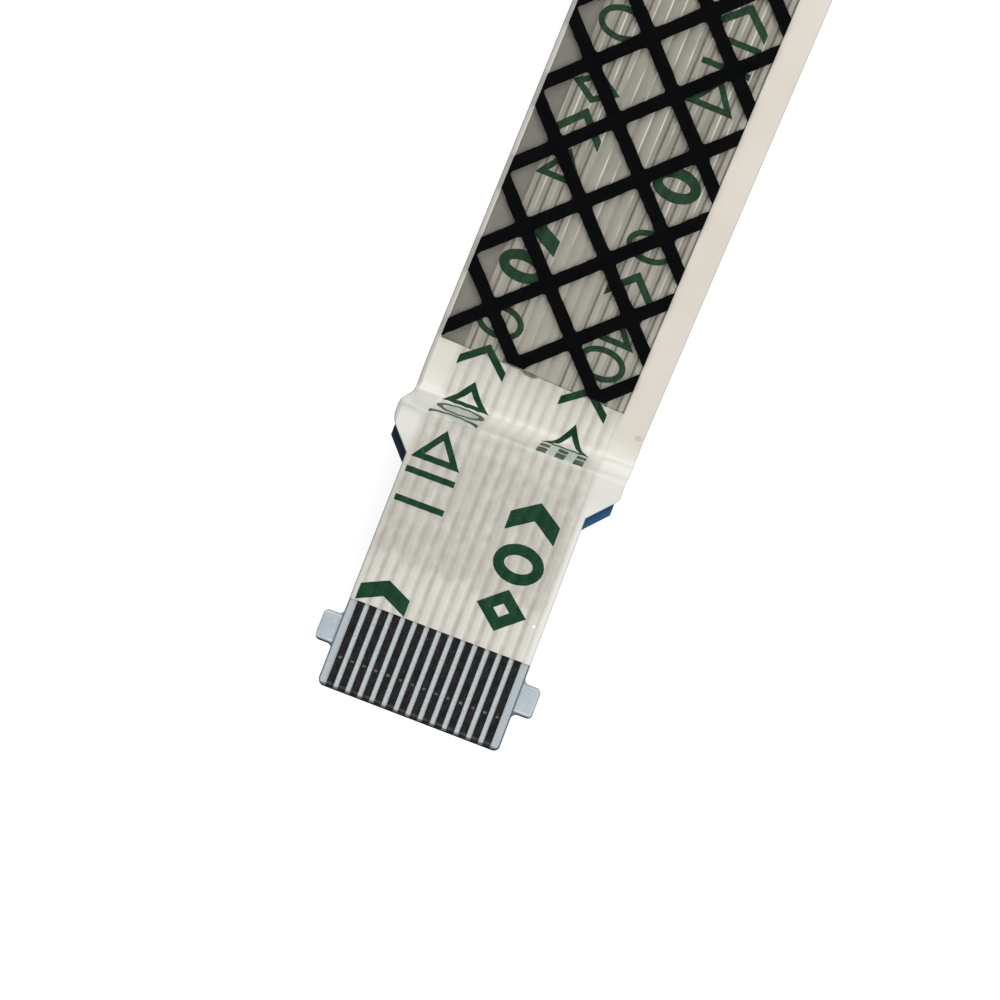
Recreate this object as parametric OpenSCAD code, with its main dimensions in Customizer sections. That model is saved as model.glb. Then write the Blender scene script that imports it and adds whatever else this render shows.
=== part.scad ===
// Flat flexible cable: flat conductors laminated between two films, with a step
// formed into the film behind the near contact end, a stiffened tongue with
// locking ears at each tip, and a printed liner over the adhesive on the wide run.
//
// X runs along the cable with the stepped end at -X, Y across it and Z up.
// The wide run lies flat on Z = 0, and the origin is under the middle of the cable.

/* [Conductors] */
// Number of flat conductors side by side
conductor_count = 14; // [6:1:14]
// Distance between the middles of two neighbouring conductors
conductor_spacing = 0.5; // [0.45:0.01:0.5]
// Width of one conductor
conductor_w = 0.3; // [0.2:0.01:0.33]
// Thickness of one conductor
conductor_t = 0.05; // [0.03:0.01:0.08]

/* [Films] */
// Thickness of the base film and of the cover film
film_t = 0.05; // [0.03:0.01:0.08]
// Width of the wide run of film
film_w = 9.5; // [9:0.1:14]
// Length of the cable measured along the film
cable_l = 80; // [66:1:300]
// How much wider the top of a rib is than the conductor under it
rib_top_outset = 0.02; // [0:0.01:0.04]
// How much wider the foot of a rib is than the conductor under it
rib_foot_outset = 0.14; // [0.06:0.01:0.14]

/* [Contact tongues] */
// Length of bare conductor at each tip
contact_l = 3.5; // [2:0.1:5]
// Distance from a tip to the inner corner of the shoulders
tongue_l = 9.6; // [8:0.1:10]
// Length over which each shoulder widens to the wide run
shoulder_l = 1.1; // [0.6:0.1:1.2]
// Corner radius at the tip
tip_r = 0.25; // [0.1:0.05:0.5]
// Corner radius at the outside of the shoulder on the +Y side
shoulder_r_left = 0.9; // [0.2:0.1:1]
// Corner radius at the outside of the shoulder on the -Y side
shoulder_r_right = 0.3; // [0.1:0.1:1]
// Distance from a tip to the ears
ear_from_tip = 1.6; // [1:0.1:2.5]
// Length of an ear along the cable
ear_l = 1.2; // [0.8:0.1:2]
// How far an ear stands out from the tongue
ear_out = 0.75; // [0.4:0.05:1.2]
// Corner radius of the ears, outside and at the root
ear_r = 0.2; // [0.05:0.05:0.3]

/* [Stiffeners] */
// Thickness of the pale carrier with the ears, under the near tongue
carrier_t = 0.1; // [0.05:0.01:0.2]
// Thickness of the blue backing under the carrier
backing_t = 0.1; // [0.05:0.01:0.2]
// Width of the blue backing at the shoulders
backing_w = 9.2; // [8.6:0.1:9.2]
// How far the backing shows past the film at the shoulders
backing_lead = 0.46; // [0.1:0.02:0.8]
// How far the backing shows past the carrier at the tip and in front of the ears
backing_edge = 0.05; // [0.02:0.01:0.1]
// Bare film between the near stiffeners and the crest of the step
crest_margin = 0.15; // [0.05:0.05:0.3]
// Thickness of the far stiffener over the tops of the ribs
far_support_t = 0.2; // [0.1:0.05:0.3]
// Length of the far stiffener
far_support_l = 6.5; // [5:0.5:9]

/* [Step] */
// Height of the near tongue's crest above the wide run
step_h = 3; // [1.5:0.1:5]
// Lean of the step's wall from the vertical, in degrees
wall_lean = 6; // [0:1:30]
// Bend radius of the crest, at the underside of the film
crest_r = 0.25; // [0.1:0.05:0.5]
// Bend radius of the foot, at the underside of the film
foot_r = 0.6; // [0.4:0.05:1]
// Distance from the near tip to the crest, along the film
crest_from_tip = 11.25; // [11:0.05:16]
// Rise of the near tongue from the crest to the tip, in degrees
tongue_rise = 14; // [0:1:30]
// Angle between the step and the wide run, seen from above, in degrees
step_skew = 3; // [0.5:0.5:6]
// Radius of the sideways curve that takes up the skew
skew_r = 20; // [15:1:25]

/* [Liner] */
// Width of the adhesive and of the liner over it
liner_w = 8.1; // [7.2:0.1:8.4]
// Bare film between the liner and the edge of the cable on the +Y side
liner_margin = 0.22; // [0.1:0.02:0.6]
// Flat film between the foot of the step and the liner
liner_from_foot = 1.7; // [1.5:0.1:4]
// Distance from the far tip to the liner
liner_from_far_tip = 13; // [12:0.5:30]
// Thickness of the adhesive over the tops of the ribs
adhesive_t = 0.05; // [0.03:0.01:0.2]
// Thickness of the liner
liner_t = 0.06; // [0.04:0.01:0.2]

/* [Lattice printed on the liner] */
// Length of one diamond along the cable
diamond_l = 3.5; // [2.5:0.1:6]
// Width of one diamond across the cable
diamond_w = 3.57; // [2.5:0.1:6]
// Width of the printed lines
line_w = 0.55; // [0.2:0.05:1]
// Distance from the liner's near edge to the first crossing of the lines
lattice_start = 0.21; // [0:0.05:1]
// Distance from the liner's +Y edge to the first row of crossings inside it
lattice_margin = 1.48; // [0:0.05:2]
// Thickness of the printed ink
ink_t = 0.015; // [0.01:0.005:0.03]

/* [Hidden] */
conductors = [for (i = [1:conductor_count]) str("conductor_", i < 10 ? "0" : "", i)];

// Across the cable
tongue_w = (conductor_count + 1) * conductor_spacing;
rib_top_w = conductor_w + rib_top_outset;
rib_foot_w = conductor_w + rib_foot_outset;
// Heights above the underside of the base film
conductor_top = film_t + conductor_t;
valley_z = 2 * film_t;
rib_z = conductor_top + film_t;
liner_z = rib_z + adhesive_t;
print_z = liner_z + liner_t;

// Along the step: each bend's run and drop, and the wall between them
wall_pitch = 90 - wall_lean;
crest_drop = crest_r * (cos(tongue_rise) - cos(wall_pitch));
foot_drop = foot_r * (1 - cos(wall_pitch));
wall_l = (step_h - crest_drop - foot_drop) / sin(wall_pitch);
crest_arc = crest_r * (wall_pitch - tongue_rise) * PI / 180;
foot_arc = foot_r * wall_pitch * PI / 180;
skew_arc = skew_r * step_skew * PI / 180;
wall_s = crest_from_tip + crest_arc;
foot_s = wall_s + wall_l;
turn_s = foot_s + foot_arc;
wide_s = turn_s + skew_arc;
wide_l = cable_l - wide_s;
step_run = crest_from_tip * cos(tongue_rise)
    + crest_r * (sin(wall_pitch) - sin(tongue_rise))
    + wall_l * cos(wall_pitch)
    + foot_r * sin(wall_pitch);

// Places on the ground plan, from the start of the wide run
foot_back = skew_r * sin(step_skew);
near_back = foot_back + step_run * cos(step_skew);
wide_x = (near_back - wide_l) / 2;
far_x = wide_x + wide_l;
tip_h = step_h + crest_from_tip * sin(tongue_rise);
near_tip = [
    wide_x - near_back,
    -skew_r * (1 - cos(step_skew)) - step_run * sin(step_skew),
    tip_h
];
liner_x = wide_x - foot_back + liner_from_foot;
liner_l = far_x - liner_from_far_tip - liner_x;
liner_y = film_w / 2 - liner_margin;

// Along the film's edges: the flare of the shoulders and where it ends
flare = atan2((film_w - tongue_w) / 2, shoulder_l);
shoulder_end = tongue_l + shoulder_l;
// The tip's corners keep clear of the outer ribs
tip_corner = min(tip_r, conductor_spacing - rib_foot_w / 2);

// Straight pieces in each rounded corner of an outline, and in each bend of the film
corner_steps = 6;
crest_steps = 4;
foot_steps = 5;
// Room round a shape that another one is cut from
clear = 1;
// Marks along the film nearer to each other than this are one mark
same_mark = 0.001;

// Even steps from one value to another
function steps(from, to, n) = [for (i = [0:n]) from + (to - from) * i / n];

// Distances along the film at which the cable bends
bend_marks = concat(
    steps(crest_from_tip, wall_s, crest_steps),
    steps(foot_s, turn_s, foot_steps),
    [wide_s]
);

// Distances from a tip at which the film's edges change direction
function edge_marks(shoulder_r) =
    let (tangent = shoulder_r * tan(flare / 2))
    [
        tip_corner * (1 - cos(45)),
        tip_corner,
        tongue_l,
        shoulder_end - tangent * cos(flare),
        shoulder_end,
        shoulder_end + tangent
    ];
near_edge_marks = concat(edge_marks(shoulder_r_left), edge_marks(shoulder_r_right));
far_edge_marks = [for (mark = edge_marks(shoulder_r_right)) cable_l - mark];
film_marks = concat(near_edge_marks, bend_marks, far_edge_marks);

function conductor_y(i) = (i - (conductor_count - 1) / 2) * conductor_spacing;

// One rounded corner at b, between its neighbours a and c
function corner(a, b, c, r) =
    let (
        to_a = (a - b) / norm(a - b),
        to_c = (c - b) / norm(c - b),
        half = acos(to_a * to_c) / 2,
        middle = b + (to_a + to_c) / norm(to_a + to_c) * r / sin(half),
        from = b + to_a * r / tan(half) - middle,
        to = b + to_c * r / tan(half) - middle,
        side = sign(from.x * to.y - from.y * to.x),
        sweep = side * (180 - 2 * half)
    )
    [for (k = [0:corner_steps])
        let (t = sweep * k / corner_steps)
        middle + [from.x * cos(t) - from.y * sin(t), from.x * sin(t) + from.y * cos(t)]];

// An outline from its corners, each given as [x, y, radius]
function rounded(corners) =
    let (n = len(corners))
    [for (i = [0:n - 1])
        let (
            a = corners[(i + n - 1) % n],
            b = corners[i],
            c = corners[(i + 1) % n]
        )
        each b.z > 0
            ? corner([a.x, a.y], [b.x, b.y], [c.x, c.y], b.z)
            : [[b.x, b.y]]];

// Moves to the near tip, with X along the tongue towards the crest
module at_near_tip() {
    translate(near_tip) rotate([0, tongue_rise, step_skew]) children();
}

// Moves to the far tip, with X along the tongue towards the middle of the cable
module at_far_tip() {
    translate([far_x, 0, 0]) rotate([0, 0, 180]) children();
}

// Runs a flat outline, drawn across the cable, straight along X
module straight(l) {
    rotate([90, 0, 90]) linear_extrude(height = l) children();
}

// Half the width of the film at a distance from the nearer tip
function half_width(from_tip, shoulder_r) =
    let (tangent = shoulder_r * tan(flare / 2))
    from_tip < tip_corner
        ? tongue_w / 2 - tip_corner + sqrt(tip_corner ^ 2 - (tip_corner - from_tip) ^ 2)
    : from_tip < tongue_l
        ? tongue_w / 2
    : from_tip < shoulder_end - tangent * cos(flare)
        ? tongue_w / 2 + (from_tip - tongue_l) * tan(flare)
    : from_tip < shoulder_end + tangent
        ? film_w / 2 - shoulder_r + sqrt(shoulder_r ^ 2 - (shoulder_end + tangent - from_tip) ^ 2)
    : film_w / 2;

// Half widths of the film at s, on the -Y and on the +Y side
function film_halves(s) =
    s < cable_l / 2
        ? [half_width(s, shoulder_r_right), half_width(s, shoulder_r_left)]
    : let (half = half_width(cable_l - s, shoulder_r_right)) [half, half];

// The values in rising order, each once
function sorted(values) =
    len(values) == 0 ? []
    : let (pivot = values[0])
    concat(
        sorted([for (v = values) if (v < pivot - same_mark) v]),
        [pivot],
        sorted([for (v = values) if (v > pivot + same_mark) v])
    );

// The marks on a strip that runs from one distance along the film to another
function marks_between(from, to, marks) =
    sorted(concat([from, to], [for (s = marks) if (s > from + same_mark && s < to - same_mark) s]));

// The direction up from the film where it runs downhill at a pitch, as [along, up]
function upward(pitch) = [sin(pitch), cos(pitch)];
function onward(pitch) = [cos(pitch), -sin(pitch)];

// A point of the step in its own upright plane: [distance from the near tip, height],
// for a distance s along the film and a height h above its underside
function step_point(s, h) =
    let (
        tip = [0, tip_h],
        crest = tip + crest_from_tip * onward(tongue_rise),
        crest_centre = crest - crest_r * upward(tongue_rise),
        wall = crest_centre + crest_r * upward(wall_pitch),
        foot = wall + wall_l * onward(wall_pitch),
        foot_centre = foot + foot_r * upward(wall_pitch),
        crest_turn = tongue_rise + (s - crest_from_tip) / crest_r * 180 / PI,
        foot_turn = wall_pitch - (s - foot_s) / foot_r * 180 / PI
    )
    s < crest_from_tip ? tip + s * onward(tongue_rise) + h * upward(tongue_rise)
    : s < wall_s ? crest_centre + (crest_r + h) * upward(crest_turn)
    : s < foot_s ? wall + (s - wall_s) * onward(wall_pitch) + h * upward(wall_pitch)
    : foot_centre - (foot_r - h) * upward(foot_turn);

// A point of the cable: s along the film from the near tip, v across it towards +Y
// at the wide run, and h above the film's underside
function place(s, v, h) =
    let (
        p = step_point(s, h),
        heading = step_skew - (s - turn_s) / skew_r * 180 / PI
    )
    s < turn_s
        ? [near_tip.x + p.x * cos(step_skew) - v * sin(step_skew),
            near_tip.y + p.x * sin(step_skew) + v * cos(step_skew), p.y]
    : s < wide_s
        ? [wide_x - (skew_r + v) * sin(heading), -skew_r + (skew_r + v) * cos(heading), h]
    : [wide_x + s - wide_s, v, h];

// A strip swept through marks along the film. section(s) gives its cross-section at s as
// pairs of a top and a bottom point, each [across, up], from -Y to +Y.
module strip(marks, section) {
    rungs = len(section(marks[0]));
    ring = 2 * rungs;
    points = [for (s = marks, pair = section(s), p = pair) place(s, p.x, p.y)];
    function top(m, i) = m * ring + 2 * i;
    function bottom(m, i) = m * ring + 2 * i + 1;
    last = len(marks) - 1;
    sides = [for (m = [0:last - 1])
        each concat(
            [for (i = [0:rungs - 2]) each [
                [top(m, i), top(m, i + 1), top(m + 1, i + 1), top(m + 1, i)],
                [bottom(m, i), bottom(m + 1, i), bottom(m + 1, i + 1), bottom(m, i + 1)]
            ]],
            [
                [top(m, 0), top(m + 1, 0), bottom(m + 1, 0), bottom(m, 0)],
                [top(m, rungs - 1), bottom(m, rungs - 1),
                    bottom(m + 1, rungs - 1), top(m + 1, rungs - 1)]
            ]
        )];
    ends = [for (i = [0:rungs - 2]) each [
        [top(0, i), bottom(0, i), bottom(0, i + 1), top(0, i + 1)],
        [top(last, i), top(last, i + 1), bottom(last, i + 1), bottom(last, i)]
    ]];
    polyhedron(points, concat(sides, ends));
}

// Corners of half a stiffener with an ear, from the tip to where it ends.
// edge grows it past the carrier at the tip and in front of the ear.
function ear_half(w, edge) = [
    [-edge, w / 2, tip_corner],
    [ear_from_tip - edge, w / 2, ear_r],
    [ear_from_tip - edge, w / 2 + ear_out, ear_r],
    [ear_from_tip + ear_l, w / 2 + ear_out, ear_r],
    [ear_from_tip + ear_l, w / 2, ear_r]
];

// A stiffener's outline, the same on both sides of the middle
module both_sides(half) {
    other = [for (i = [len(half) - 1:-1:0]) [half[i].x, -half[i].y, half[i].z]];
    polygon(rounded(concat(half, other)));
}

module base_film() {
    section = function(s)
        let (half = film_halves(s))
        [[[-half[0], film_t], [-half[0], 0]], [[half[1], film_t], [half[1], 0]]];
    color("gainsboro") strip(marks_between(0, cable_l - contact_l, film_marks), section);
}

// The cover film wraps the conductors: grooved below, ribbed above
module cover_film() {
    over_conductors = [for (i = [0:conductor_count - 1])
        let (y = conductor_y(i), groove = conductor_w / 2)
        each [
            [[y - rib_foot_w / 2, valley_z], [y - groove, film_t]],
            [[y - rib_top_w / 2, rib_z], [y - groove, conductor_top]],
            [[y + rib_top_w / 2, rib_z], [y + groove, conductor_top]],
            [[y + rib_foot_w / 2, valley_z], [y + groove, film_t]]
        ]];
    section = function(s)
        let (half = film_halves(s))
        concat(
            [[[-half[0], valley_z], [-half[0], film_t]]],
            over_conductors,
            [[[half[1], valley_z], [half[1], film_t]]]
        );
    color("antiquewhite") strip(marks_between(contact_l, cable_l, film_marks), section);
}

module conductor(i) {
    left = conductor_y(i) + conductor_w / 2;
    right = conductor_y(i) - conductor_w / 2;
    section = function(s) [
        [[right, conductor_top], [right, film_t]],
        [[left, conductor_top], [left, film_t]]
    ];
    color("dimgray") strip(marks_between(0, cable_l, bend_marks), section);
}

// The pale carrier has the ears and keeps inside the film at the shoulders
module ear_carrier() {
    end = crest_from_tip - crest_margin;
    color("lightsteelblue") at_near_tip() translate([0, 0, -carrier_t])
        linear_extrude(height = carrier_t)
            both_sides(concat(ear_half(tongue_w, 0), [[end, tongue_w / 2, 0]]));
}

// The backing shows as a blue band in front of both shoulders
module blue_backing() {
    end = crest_from_tip - crest_margin;
    slope = shoulder_l / (film_w - tongue_w);
    shoulder = tongue_l - backing_lead;
    color("steelblue") at_near_tip() translate([0, 0, -carrier_t - backing_t])
        linear_extrude(height = backing_t)
            both_sides(concat(ear_half(tongue_w, backing_edge), [
                [shoulder, tongue_w / 2, 0],
                [shoulder + (backing_w - tongue_w) * slope, backing_w / 2, 0],
                [end, backing_w / 2, 0]
            ]));
}

// A slab pressed over the ribs, with a flat top
module over_ribs(right, left, top) {
    difference() {
        translate([right, valley_z]) square([left - right, top - valley_z]);
        for (i = [0:conductor_count - 1])
            translate([conductor_y(i), 0])
                polygon([
                    [-rib_foot_w / 2, 0],
                    [-rib_foot_w / 2, valley_z],
                    [-rib_top_w / 2, rib_z],
                    [rib_top_w / 2, rib_z],
                    [rib_foot_w / 2, valley_z],
                    [rib_foot_w / 2, 0]
                ]);
    }
}

// The far contacts face down, so their stiffener lies over the cover film
module far_support_film() {
    half_w = tongue_w / 2 + ear_out + clear;
    color("steelblue") at_far_tip() intersection() {
        straight(far_support_l) over_ribs(-half_w, half_w, rib_z + far_support_t);
        linear_extrude(height = clear)
            both_sides(concat(ear_half(tongue_w, 0), [[far_support_l, tongue_w / 2, 0]]));
    }
}

module adhesive_layer() {
    color("lightgoldenrodyellow") translate([liner_x, 0, 0]) straight(liner_l)
        over_ribs(liner_y - liner_w, liner_y, liner_z);
}

module release_liner() {
    color("silver") translate([liner_x, liner_y - liner_w, liner_z])
        cube([liner_l, liner_w, liner_t]);
}

// The print is the liner's rectangle less the clear diamonds between the lines
module liner_lattice() {
    half_l = diamond_l / 2;
    half_w = diamond_w / 2;
    reach = half_l * half_w / norm([half_l, half_w]);
    open = 1 - line_w / 2 / reach;
    rows = ceil(liner_w / half_w) + 1;
    cells = ceil(liner_l / diamond_l) + 1;
    color("black") translate([liner_x, liner_y, print_z])
        linear_extrude(height = ink_t) difference() {
            translate([0, -liner_w]) square([liner_l, liner_w]);
            for (row = [-1:rows], cell = [-1:cells])
                translate([
                    lattice_start + (cell + (row % 2 == 0 ? 0 : 0.5)) * diamond_l,
                    -lattice_margin - row * half_w
                ])
                    polygon([[-half_l, 0], [0, half_w], [half_l, 0], [0, -half_w]] * open);
        }
}

base_film();
cover_film();
for (i = [0:conductor_count - 1])
    conductor(i);
ear_carrier();
blue_backing();
far_support_film();
adhesive_layer();
release_liner();
liner_lattice();
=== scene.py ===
# %% [markdown]
# # A flat flexible cable
# A flat flexible cable is a row of flat copper conductors laminated between two thin polyester films.
# Each end is stripped to bare contacts and stiffened from behind, so that it can be pushed into a
# connector. This one has locking ears at its tips, a step formed into the film behind the near tongue,
# and a strip of adhesive on the wide run, under a liner printed with a black lattice.
#
# The solid model already has every piece at its real size. This script gives those pieces their finish.
# It makes three of them again in finer form, the two films and the printed lattice, and adds the marks
# that are printed on the cable.

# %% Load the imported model
import math

import bmesh
import bpy
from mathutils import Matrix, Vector, noise


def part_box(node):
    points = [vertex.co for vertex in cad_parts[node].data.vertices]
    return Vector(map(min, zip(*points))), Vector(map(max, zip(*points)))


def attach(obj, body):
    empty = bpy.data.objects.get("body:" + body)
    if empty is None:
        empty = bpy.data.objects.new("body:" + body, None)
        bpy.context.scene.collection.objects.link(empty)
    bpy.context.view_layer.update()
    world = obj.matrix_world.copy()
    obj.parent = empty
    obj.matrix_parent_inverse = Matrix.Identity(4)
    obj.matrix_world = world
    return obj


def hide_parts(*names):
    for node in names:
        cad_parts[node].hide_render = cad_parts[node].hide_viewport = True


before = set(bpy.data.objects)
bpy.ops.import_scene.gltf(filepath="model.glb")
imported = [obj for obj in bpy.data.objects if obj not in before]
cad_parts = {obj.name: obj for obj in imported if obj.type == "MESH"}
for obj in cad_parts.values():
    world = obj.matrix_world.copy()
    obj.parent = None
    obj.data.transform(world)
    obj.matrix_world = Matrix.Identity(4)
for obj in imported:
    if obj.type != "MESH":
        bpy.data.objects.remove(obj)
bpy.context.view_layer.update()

MM = 0.001

# %% [markdown]
# ## The line that the cable follows
# A strip of film bends but doesn't stretch, so every place on it can be named by three numbers:
# the distance s along it from the near tip, the distance v across it, and the height h above its
# underside. One function turns these three into a point in space. The films, and the ink printed on
# them, are then drawn flat and wrapped, just as the real film is printed flat and formed afterwards.

# %% Sizes of the cable, in millimetres
conductor_count = 14
conductor_spacing = 0.5
conductor_w = 0.3
film_t = 0.05
conductor_t = 0.05
film_w = 9.5
tongue_w = (conductor_count + 1) * conductor_spacing
cable_l = 80
contact_l = 3.5
tongue_l = 9.6
shoulder_l = 1.1
tip_r = 0.25
shoulder_r_left = 0.9
shoulder_r_right = 0.3
ear_from_tip = 1.6
ear_l = 1.2
ear_out = 0.75

step_h = 3
wall_pitch = math.radians(84)
crest_r = 0.25
foot_r = 0.6
crest_from_tip = 11.25
tongue_rise = math.radians(14)
step_skew = math.radians(3)
skew_r = 20

wall_l = (
    step_h
    - crest_r * (math.cos(tongue_rise) - math.cos(wall_pitch))
    - foot_r * (1 - math.cos(wall_pitch))
) / math.sin(wall_pitch)
wall_s = crest_from_tip + crest_r * (wall_pitch - tongue_rise)
foot_s = wall_s + wall_l
turn_s = foot_s + foot_r * wall_pitch
wide_s = turn_s + skew_r * step_skew
print("the wall starts at", round(wall_s, 2), "and the wide run at", round(wide_s, 2), "mm from the tip")

# %% Where the cable lies
far_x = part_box("conductor_01")[1][0] / MM
wide_x = far_x - (cable_l - wide_s)
step_run = (
    crest_from_tip * math.cos(tongue_rise)
    + crest_r * (math.sin(wall_pitch) - math.sin(tongue_rise))
    + wall_l * math.cos(wall_pitch)
    + foot_r * math.sin(wall_pitch)
)
turn_x = wide_x - skew_r * math.sin(step_skew)
turn_y = -skew_r * (1 - math.cos(step_skew))
tip_h = step_h + crest_from_tip * math.sin(tongue_rise)


def upward(pitch):
    return Vector((math.sin(pitch), math.cos(pitch)))


def onward(pitch):
    return Vector((math.cos(pitch), -math.sin(pitch)))


def step_point(s, h):
    """A point of the step in its own upright plane, as distance from the near tip and height."""
    tip = Vector((0, tip_h))
    crest = tip + crest_from_tip * onward(tongue_rise)
    crest_centre = crest - crest_r * upward(tongue_rise)
    wall = crest_centre + crest_r * upward(wall_pitch)
    foot = wall + wall_l * onward(wall_pitch)
    foot_centre = foot + foot_r * upward(wall_pitch)
    if s < crest_from_tip:
        return tip + s * onward(tongue_rise) + h * upward(tongue_rise)
    if s < wall_s:
        return crest_centre + (crest_r + h) * upward(tongue_rise + (s - crest_from_tip) / crest_r)
    if s < foot_s:
        return wall + (s - wall_s) * onward(wall_pitch) + h * upward(wall_pitch)
    return foot_centre - (foot_r - h) * upward(wall_pitch - (s - foot_s) / foot_r)


def place(s, v, h):
    """The point in space, in metres, of a place on the cable given in millimetres."""
    if s < turn_s:
        along, height = step_point(s, h)
        back = step_run - along
        x = turn_x - back * math.cos(step_skew) - v * math.sin(step_skew)
        y = turn_y - back * math.sin(step_skew) + v * math.cos(step_skew)
        return Vector((x, y, height)) * MM
    if s < wide_s:
        heading = step_skew - (s - turn_s) / skew_r
        x = wide_x - (skew_r + v) * math.sin(heading)
        y = -skew_r + (skew_r + v) * math.cos(heading)
        return Vector((x, y, h)) * MM
    return Vector((wide_x + s - wide_s, v, h)) * MM


outer_conductor = (conductor_count - 1) / 2 * conductor_spacing
near_corner = place(0, outer_conductor + conductor_w / 2, film_t)
near_error = abs(near_corner.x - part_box("conductor_14")[0][0]) / MM
print("near tip agrees with the solids to", round(near_error, 4), "mm")

# %% [markdown]
# ## Camera
# The cable is looked at from above the near tongue, from 73 mm up. A long lens keeps the contacts
# nearly parallel. The camera is placed first, because the light and the finish are judged through it.

# %% Camera
camera_data = bpy.data.cameras.new("camera")
camera_data.sensor_width = 36
camera_data.lens = 64.8
camera_data.clip_start = 0.001
camera = bpy.data.objects.new("camera", camera_data)
camera.location = Vector((-20.418, -6.112, 73.013)) * MM
camera.rotation_euler = (-0.0921, 0.1249, -1.1749)
bpy.context.scene.collection.objects.link(camera)
bpy.context.scene.camera = camera
print("camera at", [round(x, 4) for x in camera.location], "metres")

# %% [markdown]
# ## Light, floor and background
# A white studio: an even sky does most of the work, one soft lamp on the -Y side draws the ribs, and
# a low one on the +X side opens the steep wall of the step, which would otherwise turn from the light.
# Together they add up to about 1 on a level surface, so a colour renders about as it is written.

# %% Sky
scene = bpy.context.scene
scene.view_settings.view_transform = "Standard"
sky_light = 0.62

world = bpy.data.worlds.new("white_studio")
scene.world = world
world.use_nodes = True
world_nodes = world.node_tree.nodes
world_links = world.node_tree.links
sky = world_nodes["Background"]
sky.inputs["Color"].default_value = (1, 1, 1, 1)


def seen_directly(nodes, links):
    """1 for rays from the camera, a mirror or a glass, and 0 for rays that light a surface."""
    path = nodes.new("ShaderNodeLightPath")
    total = None
    for ray in ("Is Camera Ray", "Is Glossy Ray", "Is Transmission Ray"):
        if total is None:
            total = path.outputs[ray]
            continue
        add = nodes.new("ShaderNodeMath")
        add.operation = "ADD"
        add.use_clamp = True
        links.new(total, add.inputs[0])
        links.new(path.outputs[ray], add.inputs[1])
        total = add.outputs[0]
    return total


strength = world_nodes.new("ShaderNodeMapRange")
strength.inputs["To Min"].default_value = sky_light
strength.inputs["To Max"].default_value = 1
world_links.new(seen_directly(world_nodes, world_links), strength.inputs["Value"])
world_links.new(strength.outputs["Result"], sky.inputs["Strength"])
print("sky lights surfaces at", sky_light)

# %% Lamps
look_at = place(wide_s - 4, 0, 0)


def lamp(name, offset, size, share):
    """A square soft lamp that adds a share of full light to a level surface at look_at."""
    data = bpy.data.lights.new(name, "AREA")
    data.size = size
    reach = Vector(offset)
    slant = reach.normalized().z
    data.energy = share * math.pi ** 2 * reach.length_squared / slant
    made = bpy.data.objects.new(name, data)
    made.location = look_at + reach
    made.rotation_euler = reach.to_track_quat("Z", "Y").to_euler()
    scene.collection.objects.link(made)
    print(name, round(data.energy, 3), "W")


lamp("rib_lamp", (0.03, -0.15, 0.13), 0.10, 0.24)
lamp("step_lamp", (0.20, 0.02, 0.085), 0.12, 0.15)

# %% Floor
floor_mesh = bpy.data.meshes.new("floor")
floor_half = 1.5
floor_gap = 0.00002
floor_mesh.from_pydata(
    [(x * floor_half, y * floor_half, -floor_gap) for x, y in ((-1, -1), (1, -1), (1, 1), (-1, 1))],
    [],
    [(0, 1, 2, 3)],
)
floor = bpy.data.objects.new("floor", floor_mesh)
scene.collection.objects.link(floor)

floor_paint = bpy.data.materials.new("floor_paper")
floor_paint.use_nodes = True
paper = floor_paint.node_tree.nodes["Principled BSDF"]
paper.inputs["Roughness"].default_value = 0.9
paper.inputs["Specular IOR Level"].default_value = 0.1
paper.inputs["Base Color"].default_value = (0.8, 0.8, 0.8, 1)
paper_nodes = floor_paint.node_tree.nodes
paper_links = floor_paint.node_tree.links
glow = paper_nodes.new("ShaderNodeMapRange")
glow.inputs["To Max"].default_value = 0.56
paper_links.new(seen_directly(paper_nodes, paper_links), glow.inputs["Value"])
paper.inputs["Emission Color"].default_value = (1, 1, 1, 1)
paper_links.new(glow.outputs["Result"], paper.inputs["Emission Strength"])
floor_mesh.materials.append(floor_paint)
print("floor", 2 * floor_half, "m wide")

# %% [markdown]
# ## Tools for finishes
# Every finish here is built from the same few steps: a base colour, a slow change of tone, a fine
# grain, and marks at known places. Small helpers keep each recipe readable. Colours are written as
# they should look on screen, from 0 to 255, and converted to the linear values that shaders use.

# %% Helpers for finishes


def screen_colour(red, green, blue):
    """A colour as seen on screen, as the linear colour that a shader takes."""
    linear = []
    for part in (red, green, blue):
        part = part / 255
        linear.append(part / 12.92 if part <= 0.04045 else ((part + 0.055) / 1.055) ** 2.4)
    return (*linear, 1)


def shader_colour(value):
    """Three numbers are a colour as seen on screen, and are converted. Anything else is ready to use."""
    if isinstance(value, tuple) and len(value) == 3:
        return screen_colour(*value)
    return value


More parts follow.
